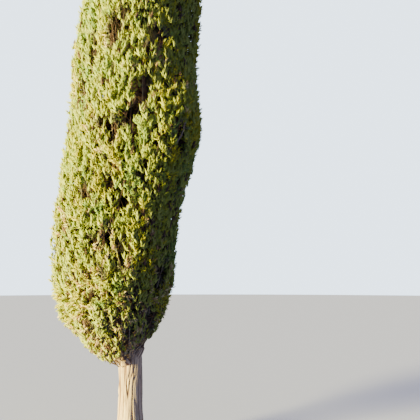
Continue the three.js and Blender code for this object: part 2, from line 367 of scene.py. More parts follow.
# Bark colours: noises by scale and detail, and how they mix
BARK_STRETCH = (1, 1, 0.09)
STREAK_NOISE = (38, 6)
FIBRE_NOISE = (210, 3)
PATCH_NOISE = (4.5, 3)
WEATHERED_FROM = 0.36
WEATHERED_TO = 0.66
FIBRE_LEVEL = 0.62
FIBRE_CONTRAST = 1.3
FIBRE_GLOSS = 0.2
BARK_ROUGHNESS = 0.74
STREAK_HEIGHT = 0.8

# Stage, with angles in degrees and the lens in millimetres
KEY_STRENGTH = 26
KEY_ELEVATION = 11
KEY_AZIMUTH = -60
KEY_ANGLE = 18
KEY_COLOUR = (1.0, 0.91, 0.36)
FILL_COLOUR = (0.19, 0.235, 0.46, 1)
BACKDROP_COLOUR = (2.5, 3.0, 3.5, 1)
FLOOR_COLOUR = (0.60, 0.62, 0.96)
CAMERA_PLACE = (0.772, -4.43, 1.6)
CAMERA_TILT = 100.1
CAMERA_LENS = 36 * 421 / 420


# The crown and its spaces

def unit(vectors):
    return vectors / np.linalg.norm(vectors, axis=-1, keepdims=True)


def outward(azimuth):
    azimuth = np.asarray(azimuth, float)
    return np.stack([np.cos(azimuth), np.sin(azimuth), np.zeros_like(azimuth)], axis=-1)


def turn_between(azimuth, other):
    """The angle from the other azimuth, up to half a turn either way."""
    return (azimuth - other + math.pi) % (2 * math.pi) - math.pi


def trunk_line(height):
    height = np.asarray(height, float)
    fading = np.clip(1 - height / TRUNK_HEIGHT, 0, 1)
    x = LEAN_SIDEWAYS * np.sin(math.pi * height / LEAN_SPAN) * fading
    y = LEAN_DEPTH * np.sin(math.pi * height / DEPTH_SPAN) * fading
    return np.stack([x, y, height], axis=-1)


def trunk_radius(height, azimuth):
    rising = np.clip(1 - height / TRUNK_HEIGHT, 0, 1)
    stem = TRUNK_RADIUS_TIP + (TRUNK_RADIUS_LOW - TRUNK_RADIUS_TIP) * rising**TRUNK_TAPER
    lobe = 1 + LOBE_DEPTH * np.cos(ROOT_LOBES * azimuth + LOBE_TURN)
    fading = np.clip(1 - height / RIBS_END, 0, 1)
    ribbed = 1 + RIB_DEPTH * np.cos(RIBS * azimuth + height / RIB_TWIST) * fading
    return stem * ribbed + FLARE_REACH * lobe * np.exp(-height / FLARE_HEIGHT)


def outline_reaches(height):
    """How far the outline stands to the left and to the right of the trunk's line."""
    levels, left, right = CROWN_OUTLINE.T
    return np.interp(height, levels, left), np.interp(height, levels, right)


def crown_reach(height, azimuth):
    """How far the crown stands out from the trunk's line at a height, in one direction."""
    left, right = outline_reaches(height)
    waves = (depth * np.sin(turns * azimuth + height / rise) for depth, turns, rise in CROWN_WAVES)
    return ((left + right) / 2 + (right - left) / 2 * np.cos(azimuth)) * (1 + sum(waves))


def around_trunk(points):
    """Radius from the trunk's line, azimuth, and share of the crown's reach."""
    away = points - trunk_line(points[..., 2])
    radius = np.hypot(away[..., 0], away[..., 1])
    azimuth = np.arctan2(away[..., 1], away[..., 0])
    return radius, azimuth, radius / crown_reach(points[..., 2], azimuth)


@dataclass(frozen=True)
class Space:
    """The part of the crown that one plume keeps to."""
    tier: int
    index: int
    azimuth: float
    low: float = 0.0
    high: float = 0.0

    @property
    def label(self):
        return "leader" if self.tier == len(TIERS) - 1 else f"tier{self.tier + 1}_{self.index + 1}"

    @property
    def seed(self):
        return 1000 * self.tier + 37 * self.index + 11

    def draw(self, offset=0):
        """Random numbers of the space's own, another row of them for each offset."""
        return np.random.default_rng(self.seed + offset)


def tier_azimuth(tier):
    return FIRST_AZIMUTH + tier * TIER_TURN


def lower_skin(tier, share, azimuth):
    """A tier's lower skin rises from the trunk to the crown's face, scalloped by the plumes below."""
    if tier >= len(TIERS):
        return ABOVE_CROWN
    here = TIERS[tier]
    plumes_below = TIERS[max(tier - 1, 0)].plumes
    scallop = here.points * share * np.cos(plumes_below * (azimuth - tier_azimuth(tier - 1)))
    return here.root + (here.shoulder - here.root) * share + scallop


def skin_share(tier, height, azimuth):
    """The share of the crown's reach at which a tier's lower skin passes a height."""
    if tier >= len(TIERS):
        return 0.0
    root = lower_skin(tier, 0.0, azimuth)
    return np.clip((height - root) / (lower_skin(tier, 1.0, azimuth) - root), 0, 1)


def is_inside(space, points):
    """Which points lie in the plume's space, clear of the trunk and of the plumes round it."""
    radius, azimuth, share = around_trunk(points)
    height = points[..., 2]
    clear_of_trunk = radius >= trunk_radius(height, azimuth) + WALL_GAP
    inside = (share <= 1) & (clear_of_trunk | (height >= TRUNK_HEIGHT + WALL_GAP))
    if TIERS[space.tier].plumes > 1:
        sector = math.pi / TIERS[space.tier].plumes
        turn = np.abs(turn_between(azimuth, space.azimuth))
        inside &= radius * np.sin(sector - turn) >= WALL_GAP
    inside &= height >= lower_skin(space.tier, share, azimuth) + 2 * WALL_GAP
    return inside & (height < lower_skin(space.tier + 1, share, azimuth) - 2 * WALL_GAP)


def middle(space, height):
    """The middle of a plume's space at a height."""
    height = np.asarray(height, float)
    line = trunk_line(height)
    if TIERS[space.tier].plumes == 1:
        return line
    reach = crown_reach(height, space.azimuth)
    trunk_share = trunk_radius(height, space.azimuth) / reach
    inner = np.maximum(skin_share(space.tier + 1, height, space.azimuth), trunk_share)
    outer = skin_share(space.tier, height, space.azimuth)
    return line + outward(space.azimuth) * (reach * (inner + outer) / 2)[..., None]


def wall_distance(space, start, direction):
    """How far each ray goes before it leaves the plume's space."""
    reached = np.zeros(len(start))
    going = np.ones(len(start), bool)
    for _ in range(int(WALL_REACH / WALL_STEP)):
        ahead = start + direction * (reached + WALL_STEP)[:, None]
        going &= is_inside(space, ahead)
        if not going.any():
            break
        reached[going] += WALL_STEP
    too_far = reached + WALL_STEP
    for _ in range(WALL_HALVINGS):
        between = (reached + too_far) / 2
        good = is_inside(space, start + direction * between[:, None])
        reached = np.where(good, between, reached)
        too_far = np.where(good, too_far, between)
    return reached


def with_span(space):
    """The space with the heights between which its plume has room."""
    root = TIERS[space.tier].root
    heights = root + HEIGHT_STEP * np.arange(int((TREE_HEIGHT - root) / HEIGHT_STEP))
    centres = middle(space, heights)
    out = np.broadcast_to(outward(space.azimuth), centres.shape)
    room = np.minimum(wall_distance(space, centres, out), wall_distance(space, centres, -out))
    room[~is_inside(space, centres)] = 0
    least = LEAST_SHARE * crown_reach(root + FOOT_ALLOWANCE, space.azimuth)
    first = int(np.argmax(room >= least))
    cramped = np.flatnonzero(room[first + 1:] <= least / CRAMPING)
    last = first + int(cramped[0]) if len(cramped) else len(heights) - 1
    return replace(space, low=float(heights[first]), high=float(heights[last]))


@functools.cache
def spaces():
    """The spaces of all plumes, tier by tier."""
    return tuple(
        with_span(Space(tier, index, tier_azimuth(tier) + 2 * math.pi * index / here.plumes))
        for tier, here in enumerate(TIERS)
        for index in range(here.plumes)
    )


def bough_line(space, shares):
    """Points along a bough, which leaves the trunk steeply and bends up at a knee."""
    foot = trunk_line(max(space.low - BOUGH_RISE, TIERS[space.tier].root + BOUGH_FOOT_MARGIN))
    tip = middle(space, space.low)
    tip[2] = space.low - BOUGH_TIP_MARGIN
    knee = foot + (tip - foot) * KNEE_ACROSS
    knee[2] = foot[2] + (tip[2] - foot[2]) * KNEE_UP
    s = np.asarray(shares, float)[:, None]
    return foot * (1 - s) ** 2 + knee * 2 * s * (1 - s) + tip * s**2


def bough_radius(space, shares):
    foot = bough_line(space, [0.0])[0, 2]
    base = BOUGH_SHARE * trunk_radius(foot, space.azimuth)
    return base * (1 - (1 - BOUGH_TAPER) * np.asarray(shares, float))


# Patches on the crown's face

@dataclass(frozen=True)
class Place:
    """A long patch on the crown's face: its middle, half its length and width, and its lean."""
    azimuth: float
    height: float
    half_length: float
    half_width: float
    lean: float = 0.0


def all_round(seed, count, half_length, half_width, front):
    """Places listed for the side that the camera sees, and seeded ones everywhere else."""
    draw = np.random.default_rng(seed)
    made = [Place(*row) for row in front]
    azimuths = draw.uniform(-math.pi, math.pi, count)
    for azimuth, height in zip(azimuths, draw.uniform(*PLACES_LEVELS, count)):
        if abs(azimuth - FRONT_AZIMUTH) > FRONT_HALF_TURN or height > FRONT_TOP:
            size = draw.uniform(*PLACE_SIZES) * outline_reaches(height)[0] / FULL_REACH
            width = size * draw.uniform(*PLACE_WIDTHS) * half_width
            lean = draw.uniform(-PLACE_LEAN, PLACE_LEAN)
            made.append(Place(azimuth, height, size * half_length, width, lean))
    return tuple(made)


HOLLOWS = all_round(PLACES_SEED, count=60, half_length=0.13, half_width=0.042, front=(
    (-1.81, 4.11, 0.13, 0.07), (-1.66, 4.27, 0.09, 0.03), (-1.14, 4.09, 0.06, 0.10),
    (-2.20, 3.92, 0.17, 0.06), (-2.48, 3.60, 0.13, 0.07), (-1.30, 3.50, 0.14, 0.04, 0.25),
    (-1.47, 3.24, 0.13, 0.045, 0.6), (-1.75, 3.07, 0.09, 0.05), (-1.90, 3.14, 0.035, 0.08),
    (-1.78, 2.57, 0.06, 0.035), (-2.09, 2.48, 0.06, 0.035), (-1.27, 2.69, 0.07, 0.04),
    (-1.55, 2.41, 0.07, 0.035), (-1.77, 2.09, 0.06, 0.035), (-1.95, 2.03, 0.035, 0.04),
    (-1.58, 1.93, 0.15, 0.025, -0.2), (-1.82, 1.70, 0.05, 0.025), (-2.01, 1.51, 0.04, 0.03),
    (-2.15, 1.29, 0.09, 0.02), (-1.80, 1.26, 0.08, 0.02), (-1.47, 1.13, 0.11, 0.022),
))
BROWN_PATCHES = all_round(PLACES_SEED + 1, count=70, half_length=0.12, half_width=0.08, front=(
    (-1.89, 3.99, 0.10, 0.07), (-1.17, 4.13, 0.05, 0.06), (-1.09, 3.78, 0.13, 0.09),
    (-1.59, 3.64, 0.07, 0.06), (-1.36, 3.33, 0.12, 0.08), (-1.84, 2.63, 0.05, 0.05),
    (-1.90, 1.96, 0.16, 0.10), (-1.43, 1.81, 0.13, 0.05), (-1.45, 1.25, 0.25, 0.14),
))
# Greener patches, partly painted shade: leaves in them are dealt darker, greener colours, and the
# listed front ones lie where the crown is shaded
GREEN_AND_PAINTED_SHADE_PATCHES = all_round(PLACES_SEED + 2, count=70, half_length=0.20, half_width=0.12, front=(
    (-2.40, 3.85, 0.55, 0.15), (-1.42, 2.55, 0.20, 0.14), (-1.95, 2.30, 0.10, 0.07),
    (-1.35, 4.30, 0.16, 0.12), (-1.62, 1.60, 0.08, 0.05),
))


def share_of(places, height, azimuth):
    """How far each place on the face lies in one of these patches, from 0 to 1."""
    share = np.zeros_like(height)
    reach = crown_reach(height, azimuth)
    for patch in places:
        across = turn_between(azimuth, patch.azimuth) * reach
        up = height - patch.height
        along = up * math.cos(patch.lean) + across * math.sin(patch.lean)
        aside = across * math.cos(patch.lean) - up * math.sin(patch.lean)
        far = np.hypot(along / patch.half_length, aside / patch.half_width)
        share = np.maximum(share, np.clip(PATCH_EDGE - far, 0, 1))
    return share


def in_hollow(points):
    _, azimuth, share = around_trunk(points)
    return (share_of(HOLLOWS, points[:, 2], azimuth) > HOLLOW_EDGE) & (share > HOLLOW_FLOOR)


# Growth: shoots on the stems, tufts on the shoots, sprigs on the tufts

@dataclass
class Growth:
    """Straight pieces of growth: where each starts, its heading, its length and what it grows on."""
    start: np.ndarray
    heading: np.ndarray
    length: np.ndarray
    parent: np.ndarray

    def tips(self):
        return self.start + self.heading * self.length[:, None]

    def only(self, kept):
        return Growth(*(values[kept] for values in vars(self).values()))


@functools.cache
def crown_lattice(spacing, seed):
    """Heights and azimuths spread over the crown's face, closer together on the leader."""
    levels = np.linspace(CROWN_FOOT, TREE_HEIGHT, LATTICE_LEVELS)
    left, right = outline_reaches(levels)
    reach = (left + right) / 2
    ring = 2 * math.pi * reach * np.hypot(1, np.gradient(reach, levels))
    ring *= np.interp(levels, LEADER_LEVELS, (1, LEADER_DENSITY))
    area = np.concatenate([[0], np.cumsum((ring[1:] + ring[:-1]) / 2 * np.diff(levels))])
    count = int(area[-1] / spacing**2)
    order = np.arange(count)
    height = np.interp((order + 0.5) / count * area[-1], area, levels)
    turn = 2 * math.pi * ((order * GOLDEN_SHARE) % 1)
    turn -= np.interp(height, levels, (right - left) / (right + left)) * np.sin(turn)
    draw = np.random.default_rng(seed)
    height += LATTICE_JITTER * spacing * draw.uniform(-1, 1, count)
    turn += LATTICE_JITTER * spacing * draw.uniform(-1, 1, count) / np.interp(height, levels, reach)
    return np.clip(height, CROWN_FOOT, TREE_HEIGHT - TOP_MARGIN), turn_between(turn, 0)


def lattice_in(space, spacing, seed):
    """The heights and azimuths of the lattice that belong to a plume."""
    height, azimuth = crown_lattice(spacing, seed)
    mine = np.abs(turn_between(azimuth, space.azimuth)) <= math.pi / TIERS[space.tier].plumes
    mine &= (height >= lower_skin(space.tier, FACE_SHARE, azimuth)) | (space.tier == 0)
    mine &= height < lower_skin(space.tier + 1, FACE_SHARE, azimuth)
    return height[mine], azimuth[mine]


def face_share(height, azimuth):
    """How far foliage stands out, as a share of the crown's reach: more at the skirt and in swells."""
    share = np.interp(height, SKIRT_LEVELS, (SKIRT_SHARE, FACE_SHARE))
    for middle_turn, level, span, depth in SWELLS:
        facing = np.maximum(np.cos(azimuth - middle_turn), 0)
        share += depth * facing**2 * np.exp(-(((height - level) / span) ** 2))
    return share * np.interp(height, TIP_LEVELS, (1, TIP_SHARE))


def face_point(height, azimuth, lift):
    """The point at a share of the crown's reach."""
    return trunk_line(height) + outward(azimuth) * (crown_reach(height, azimuth) * lift)[:, None]


def face_heading(height, azimuth, tilt, sway, draw):
    """Up along the crown's face, tilted outward and swaying to the sides."""
    rise = crown_reach(height + SLOPE_STEP, azimuth) - crown_reach(height - SLOPE_STEP, azimuth)
    slope = np.clip(rise / (2 * SLOPE_STEP), *SLOPE_LIMITS)
    heading = unit(outward(azimuth) * (slope + tilt)[:, None] + UP)
    sideways = np.cross(UP, outward(azimuth))
    return unit(heading + sideways * draw.normal(0, sway, len(height))[:, None])


def foot_height(azimuth):
    """The foliage starts lowest on the left."""
    return FOLIAGE_FOOT + FOLIAGE_FOOT_SLANT * np.cos(azimuth)


@functools.cache
def grow_shoots(space, sizes):
    """Shoots whose tips are spread over the plume's part of the crown's face."""
    height, azimuth = lattice_in(space, sizes.shoot_spacing, LATTICE_SEED)
    draw = space.draw()
    count = len(height)
    lumps = cell_noise(*LUMP_NOISE, azimuth + math.pi, height)
    ridges = cell_noise(*RIDGE_NOISE, azimuth + math.pi, height)
    lift = SHOOT_LIFT - SHOOT_LIFT_SPREAD * draw.random(count) ** 2 - LUMP_DEPTH * (1 - lumps) ** 2
    lift -= RIDGE_DEPTH * (1 - ridges) ** 2
    lift *= face_share(height, azimuth) / FACE_SHARE
    length = sizes.shoot_length * draw.uniform(*SHOOT_LENGTHS, count)
    length *= np.minimum(SHOOT_LEAST + SHOOT_PER_REACH * crown_reach(height, azimuth), 1)
    tilt = SHOOT_TILT * draw.uniform(*SHOOT_TILTS, count)
    heading = face_heading(height, azimuth, tilt, SHOOT_SWAY, draw)
    length = np.minimum(length, (height - CROWN_FOOT + SHOOT_FOOT_ROOM) / heading[:, 2])
    start = face_point(height, azimuth, lift) - heading * length[:, None]
    kept = draw.random(count) >= share_of(HOLLOWS, height, azimuth)
    return Growth(start, heading, length, np.arange(count)).only(kept)


def whorl(parents, spacing, leans, lengths, draw):
    """Side growth round its parents in golden turns, which leans out less towards the tip."""
    per_parent = np.maximum(WHORL_LEAST, np.round(parents.length / spacing)).astype(int)
    parent = np.repeat(np.arange(len(per_parent)), per_parent)
    count = len(parent)
    number = np.arange(count) - np.repeat(np.cumsum(per_parent) - per_parent, per_parent)
    climb = (number + draw.uniform(*WHORL_CLIMBS, count)) / per_parent[parent]
    turn = GOLDEN_TURN * number + draw.uniform(0, WHORL_TURN_SPREAD, count)
    turn += WHORL_PARENT_TURN * parent
    lean = np.radians(np.interp(climb, (0, 1), leans) + draw.normal(0, WHORL_LEAN_SPREAD, count))
    axis = parents.heading[parent]
    side, _ = frames_along(axis, turn)
    start = parents.start[parent] + axis * (parents.length[parent] * WHORL_REACH * climb)[:, None]
    heading = unit(axis * np.cos(lean)[:, None] + side * np.sin(lean)[:, None])
    length = np.interp(climb, (0, 1), lengths) * draw.uniform(*WHORL_LENGTHS, count)
    return Growth(start, heading, length, parent)


def drooping(points):
    """How far growth hangs down at the skirt of the crown, as one column for each heading."""
    return np.interp(points[:, 2], DROOP_LEVELS, (SKIRT_DROOP, 0))[:, None]


def shortened_inside(growth, allowance):
    """Shortens what would stand out of the crown's face, and says which pieces then lie inside it."""
    _, azimuth, _ = around_trunk(growth.start)
    level = growth.start[:, 2]
    limit = face_share(level, azimuth) + allowance / crown_reach(level, azimuth)
    for _ in range(SHORTENINGS):
        beyond = around_trunk(growth.tips())[2] > limit
        growth.length = np.where(beyond, growth.length * SHORTENED, growth.length)
    tips = growth.tips()
    level = tips[:, 2]
    radius, azimuth, share = around_trunk(tips)
    return (share <= limit) & (radius > trunk_radius(level, azimuth)) & (level > foot_height(azimuth))


@functools.cache
def grow_tufts(space, sizes):
    """Tufts round every shoot, which hang down at the skirt."""
    draw = space.draw(TUFT_SEED)
    lengths = TUFT_SHARES * sizes.tuft_length
    tufts = whorl(grow_shoots(space, sizes), sizes.tuft_spacing, TUFT_LEANS, lengths, draw)
    tufts.heading = unit(tufts.heading - UP * drooping(tufts.start))
    return tufts.only(shortened_inside(tufts, -TUFT_SET_BACK))


@functools.cache
def grow_sprigs(space, sizes):
    """Sprigs on every tuft. A sprig that would leave the crown is made shorter, and then skipped."""
    draw = space.draw(SPRIG_SEED)
    lengths = SPRIG_SHARES * sizes.sprig_length
    sprigs = whorl(grow_tufts(space, sizes), sizes.sprig_spacing, SPRIG_LEANS, lengths, draw)
    sprigs.heading = unit(sprigs.heading + UP * (SPRIG_RISE - SPRIG_DROOP * drooping(sprigs.start)))
    kept = shortened_inside(sprigs, SPRIG_OVERSHOOT * draw.random(len(sprigs.length)) ** 2)
    radius, _, share = around_trunk(sprigs.start)
    depth = radius / share * (1 - share)
    kept &= draw.random(len(share)) < np.interp(depth, HIDDEN_DEPTHS, (1, LEAST_KEPT))
    return sprigs.only(kept & ~in_hollow(sprigs.tips()))


def grow_inner(space, sizes, layer):
    """A layer of sprays behind the shoots, and the way each faces. The outer one leaves out hollows."""
    spacing = sizes.inner_spacing * INNER_SPACINGS[layer]
    height, azimuth = lattice_in(space, spacing, LATTICE_SEED + 1 + layer)
    draw = space.draw(INNER_SEED + layer)
    count = len(height)
    heading = face_heading(height, azimuth, draw.uniform(*INNER_TILTS, count), INNER_SWAY, draw)
    lift = INNER_LIFTS[layer] + INNER_LIFT_SPREAD * draw.uniform(-1, 1, count)
    lift *= face_share(height, azimuth) / FACE_SHARE
    reach = crown_reach(height, azimuth)
    length = sizes.inner_length * INNER_LENGTHS[layer] * draw.uniform(*INNER_LENGTH_SPREAD, count)
    length *= np.minimum(INNER_LEAST + reach, 1)
    length *= np.interp(reach, INNER_TIP_REACHES, (INNER_TIP_SHARE, 1))
    tip = face_point(height, azimuth, lift)
    start = tip - heading * length[:, None]
    radius, around, _ = around_trunk(start)
    kept = radius > trunk_radius(start[:, 2], around)
    kept &= start[:, 2] > foot_height(around) + INNER_FOOT_GAP
    if layer == 0:
        kept &= ~in_hollow(tip)
    return Growth(start, heading, length, np.arange(count)).only(kept), outward(azimuth[kept])


# Meshes from arrays

def finished(piece, slot, *nodes):
    """Hangs a piece on the tree and hides the solids that it stands for."""
    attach(piece, "root")
    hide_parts(*nodes)


def mesh_piece(name, shapes, materials):
    """One piece from many shapes, each with corners, triangles and the triangles' material numbers."""
    corners, triangles, finish = zip(*shapes)
    offsets = np.cumsum([0] + [len(each) for each in corners])
    triangles = np.concatenate([each + offset for each, offset in zip(triangles, offsets)])
    corners, finish = np.concatenate(corners), np.concatenate(finish)
    mesh = bpy.data.meshes.new(name)
    mesh.vertices.add(len(corners))
    mesh.vertices.foreach_set("co", corners.astype(np.float32).ravel())
    mesh.loops.add(3 * len(triangles))
    mesh.loops.foreach_set("vertex_index", triangles.astype(np.int32).ravel())
    mesh.polygons.add(len(triangles))
    mesh.polygons.foreach_set("loop_start", np.arange(0, 3 * len(triangles), 3, dtype=np.int32))
    for material in materials:
        mesh.materials.append(material)
    mesh.polygons.foreach_set("material_index", finish.astype(np.int32))
    mesh.polygons.foreach_set("use_smooth", np.ones(len(triangles), bool))
    mesh.update(calc_edges=True)
    piece = bpy.data.objects.new(name, mesh)
    bpy.context.scene.collection.objects.link(piece)
    return piece


def frames_along(heading, roll, facing=None):
    """Turned axes for each heading: two across and one along."""
    if facing is None:
        facing = np.where(np.abs(heading[:, 2:]) < STEEP, UP, (1.0, 0, 0))
    side = unit(np.cross(heading, facing))
    front = np.cross(heading, side)
    cos, sin = np.cos(roll)[:, None], np.sin(roll)[:, None]
    return side * cos + front * sin, front * cos - side * sin


def tubes(paths, radii, sides, finish=0):
    """Tapering tubes along many paths at once, open at the foot, where they leave a thicker limb."""
    count, points = paths.shape[:2]
    radii = np.broadcast_to(radii, (count, points))
    ahead = np.concatenate([paths[:, 1:], paths[:, -1:]], axis=1)
    behind = np.concatenate([paths[:, :1], paths[:, :-1]], axis=1)
    along = unit(ahead - behind + TINY * UP)
    side = unit(np.cross(along, ASIDE))
    front = np.cross(along, side)
    turns = 2 * math.pi * np.arange(sides) / sides
    rings = side[:, :, None] * np.cos(turns)[:, None] + front[:, :, None] * np.sin(turns)[:, None]
    rings = rings * radii[:, :, None, None] + paths[:, :, None]
    faces = []
    for ring in range(points - 1):
        for k in range(sides):
            a, b = ring * sides + k, ring * sides + (k + 1) % sides
            faces += [(a, b, b + sides), (a, b + sides, a + sides)]
    last = (points - 1) * sides
    for k in range(1, sides - 1):
        faces.append((last, last + k, last + k + 1))
    step = points * sides * np.arange(count)[:, None, None]
    triangles = (np.array(faces)[None] + step).reshape(-1, 3)
    return rings.reshape(-1, 3), triangles, np.repeat(np.broadcast_to(finish, count), len(faces))


def placed(template, growth, roll, finish, facing=None):
    """Copies of a template along each piece of growth."""
    corners, faces = template
    side, front = frames_along(growth.heading, roll, facing)
    local = corners[None] * growth.length[:, None, None]
    world = local[..., 0:1] * side[:, None] + local[..., 1:2] * front[:, None]
    world = world + local[..., 2:3] * growth.heading[:, None] + growth.start[:, None]
    step = len(corners) * np.arange(len(roll))[:, None, None]
    return world.reshape(-1, 3), (faces[None] + step).reshape(-1, 3), np.repeat(finish, len(faces))


# Templates of length 1 along +Z

def sprig_template(seed, branchlets, thickness):
    """Slender branchlets of scale leaves round a rachis, open at the foot and closer in further up."""
    draw = np.random.default_rng(seed)
    corners, faces = [], []
    for k in range(branchlets):
        climb = k / (branchlets - 1)
        lean, length = (
            low - lost * climb + draw.uniform(-spread, spread)
            for low, lost, spread in (BRANCHLET_LEAN, BRANCHLET_LENGTH)
        )
        azimuth = GOLDEN_TURN * k + draw.uniform(-BRANCHLET_TURN_SPREAD, BRANCHLET_TURN_SPREAD)
        lean = math.radians(lean)
        heading = outward(azimuth) * math.sin(lean) + UP * math.cos(lean)
        side = unit(np.cross(heading, outward(azimuth + 0.5 * math.pi)))
        front = np.cross(heading, side)
        base = UP * (RACHIS_LENGTH * climb)
        first = len(corners)
        for corner in range(3):
            turn = 2 * math.pi * corner / 3 + CORNER_TURN
            corners.append(base + (side * math.cos(turn) + front * math.sin(turn)) * thickness)
            faces.append((first + corner, first + (corner + 1) % 3, first + 3))
        corners.append(base + heading * length + UP * BRANCHLET_TIP_RISE)
    return np.array(corners), np.array(faces)


def blade_template(teeth, half_width, thickness):
    """A closed toothed blade that tapers to its tip, thick at a rib."""
    right = []
    for tooth in range(teeth):
        climb = (tooth + 1) / (teeth + 1)
        width = math.sin(math.pi * (BLADE_SWEEP[0] + BLADE_SWEEP[1] * climb))
        right += [(width, climb + TOOTH_RISE), (TOOTH_NOTCH * width, climb)]
    left = [(-across, along - TOOTH_DROP) for across, along in reversed(right)]
    rim = [(0, 0)] + right + [(0, 1)] + left
    corners = [(across * half_width, 0, along) for across, along in rim]
    corners += [(0, thickness, BLADE_RIB), (0, -thickness, BLADE_RIB)]
    points = len(rim)
    faces = []
    for index in range(points):
        following = (index + 1) % points
        faces += [(index, following, points + 1), (following, index, points)]
    return np.array(corners), np.array(faces)


# Bark in long flat strips

def smooth(value):
    return value**2 * (3 - 2 * value)


def cell_noise(seed, turns, rise, azimuth, height):
    """Smooth seeded noise from 0 to 1 that closes round a limb, made of cells round it and up it."""
    rows = int(np.max(height) / rise) + 3
    values = np.random.default_rng(seed).random((rows, turns))
    across, up = azimuth / (2 * math.pi) * turns, height / rise
    column, row = np.floor(across).astype(int), np.floor(up).astype(int)
    s, t = smooth(across - column), smooth(up - row)

    def at(aside, above):
        return values[(row + above) % rows, (column + aside) % turns]

    low = at(0, 0) * (1 - s) + at(1, 0) * s
    high = at(0, 1) * (1 - s) + at(1, 1) * s
    return low * (1 - t) + high * t


def bark_strips(seed, turns, azimuth, height):
    """Furrows between the strips, from 0 to 1, and the fibre along them."""
    around = azimuth + STRIP_SWAY * cell_noise(seed + 1, *SWAY_CELLS, azimuth, height)
    wide = cell_noise(seed + 2, turns, STRIP_RISE, around, height)
    narrow = cell_noise(seed + 3, 2 * turns + 1, CRACK_RISE, around, height)
    furrow, crack = (np.exp(-(((2 * noise - 1) / FURROW_WIDTH) ** 2)) for noise in (wide, narrow))
    fibre = cell_noise(seed + 4, FIBRES_IN_STRIP * turns, FIBRE_RISE, around, height)
    return np.maximum(furrow, CRACK_SHARE * crack), fibre


def deselect_all():
    if bpy.context.mode != "OBJECT":
        bpy.ops.object.mode_set(mode="OBJECT")
    bpy.ops.object.select_all(action="DESELECT")


def rolled_limb(name, sides, levels, place, material):
    """A grid rolled into a closed limb. place gives corners and furrows for an azimuth and a climb."""
    deselect_all()
    bpy.ops.mesh.primitive_grid_add(x_subdivisions=sides, y_subdivisions=levels, size=2)
    limb = bpy.context.object
    limb.name = limb.data.name = name
    flat = np.empty(3 * len(limb.data.vertices), np.float32)
    limb.data.vertices.foreach_get("co", flat)
    across, climb = ((flat.reshape(-1, 3)[:, :2] + 1) / 2).T.astype(float)
    corners, furrow = place(2 * math.pi * across, climb)
    limb.data.vertices.foreach_set("co", corners.astype(np.float32).ravel())
    depth = limb.data.attributes.new("furrow", "FLOAT", "POINT")
    depth.data.foreach_set("value", furrow.astype(np.float32))
    limb.data.update()
    bpy.ops.object.mode_set(mode="EDIT")
    bpy.ops.mesh.select_all(action="SELECT")
    bpy.ops.mesh.remove_doubles(threshold=1e-5)
    bpy.ops.mesh.fill_holes(sides=0)
    bpy.ops.mesh.normals_make_consistent(inside=False)
    bpy.ops.object.mode_set(mode="OBJECT")
    bpy.ops.object.shade_smooth()
    limb.data.materials.append(material)
    return limb


def trunk_place(azimuth, climb):
    height = np.interp(climb, (0, 0.5, 1), (0, RELIEF_TOP, TRUNK_HEIGHT))
    furrow, fibre = bark_strips(BARK_SEED, TRUNK_STRIPS, azimuth, height)
    plain = trunk_radius(height, azimuth)
    lumps = cell_noise(BARK_SEED + 5, *BARK_LUMP_CELLS, azimuth, height) - 0.5
    size = np.clip(plain / TRUNK_RADIUS_LOW, *RELIEF_SIZES)
    relief = BARK_LUMP_DEPTH * lumps - FURROW_DEPTH * furrow + FIBRE_DEPTH * (fibre - 0.5)
    return trunk_line(height) + outward(azimuth) * (plain + size * relief)[:, None], furrow


def bough_place(space, azimuth, climb):
    line = bough_line(space, climb)
    heading = unit(bough_line(space, climb + BOUGH_STEP) - bough_line(space, climb - BOUGH_STEP))
    side = np.broadcast_to(outward(space.azimuth + 0.5 * math.pi), heading.shape)
    front = np.cross(heading, side)
    foot, tip = bough_line(space, [0.0, 1.0])
    height = climb * np.linalg.norm(tip - foot)
    furrow, fibre = bark_strips(space.seed, BOUGH_STRIPS, azimuth, height)
    collar = 1 + BOUGH_COLLAR * np.exp(-height / BOUGH_COLLAR_LENGTH)
    relief = 1 - BOUGH_FURROW_SHARE * furrow + BOUGH_FIBRE_SHARE * (fibre - 0.5)
    around = side * np.cos(azimuth)[:, None] + front * np.sin(azimuth)[:, None]
    return line + around * (bough_radius(space, climb) * collar * relief)[:, None], furrow


# Materials

def add_node(tree, kind, values=(), **settings):
    """A shader node. Each of its values is a number, a vector or the output of another node."""
    node = tree.nodes.new("ShaderNode" + kind)
    for name, setting in settings.items():
        setattr(node, name, setting)
    for name, value in dict(values).items():
        if isinstance(value, NodeSocket):
            tree.links.new(value, node.inputs[name])
        else:
            node.inputs[name].default_value = value
    return node


def math_node(tree, operation, first, second):
    return add_node(tree, "Math", {0: first, 1: second}, operation=operation).outputs["Value"]


def noise_node(tree, vector, scale, detail):
    values = {"Vector": vector, "Scale": scale, "Detail": detail}
    return add_node(tree, "TexNoise", values).outputs["Fac"]


def mix_colours(tree, share, first, second):
    node = add_node(tree, "Mix", {"Factor": share}, data_type="RGBA")
    ends = [socket for socket in node.inputs if socket.type == "RGBA"]
    tree.links.new(first, ends[0])
    tree.links.new(second, ends[1])
    return next(socket for socket in node.outputs if socket.type == "RGBA")


def group_with(name, inputs, outputs):
    """A shader node group with named sockets, what it is given and what it returns."""
    group = bpy.data.node_groups.new(name, "ShaderNodeTree")
    for socket, kind, default in inputs:
        made = group.interface.new_socket(socket, in_out="INPUT", socket_type="NodeSocket" + kind)
        if default is not None:
            made.default_value = default
    for socket, kind in outputs:
        group.interface.new_socket(socket, in_out="OUTPUT", socket_type="NodeSocket" + kind)
    return group, group.nodes.new("NodeGroupInput").outputs, group.nodes.new("NodeGroupOutput").inputs


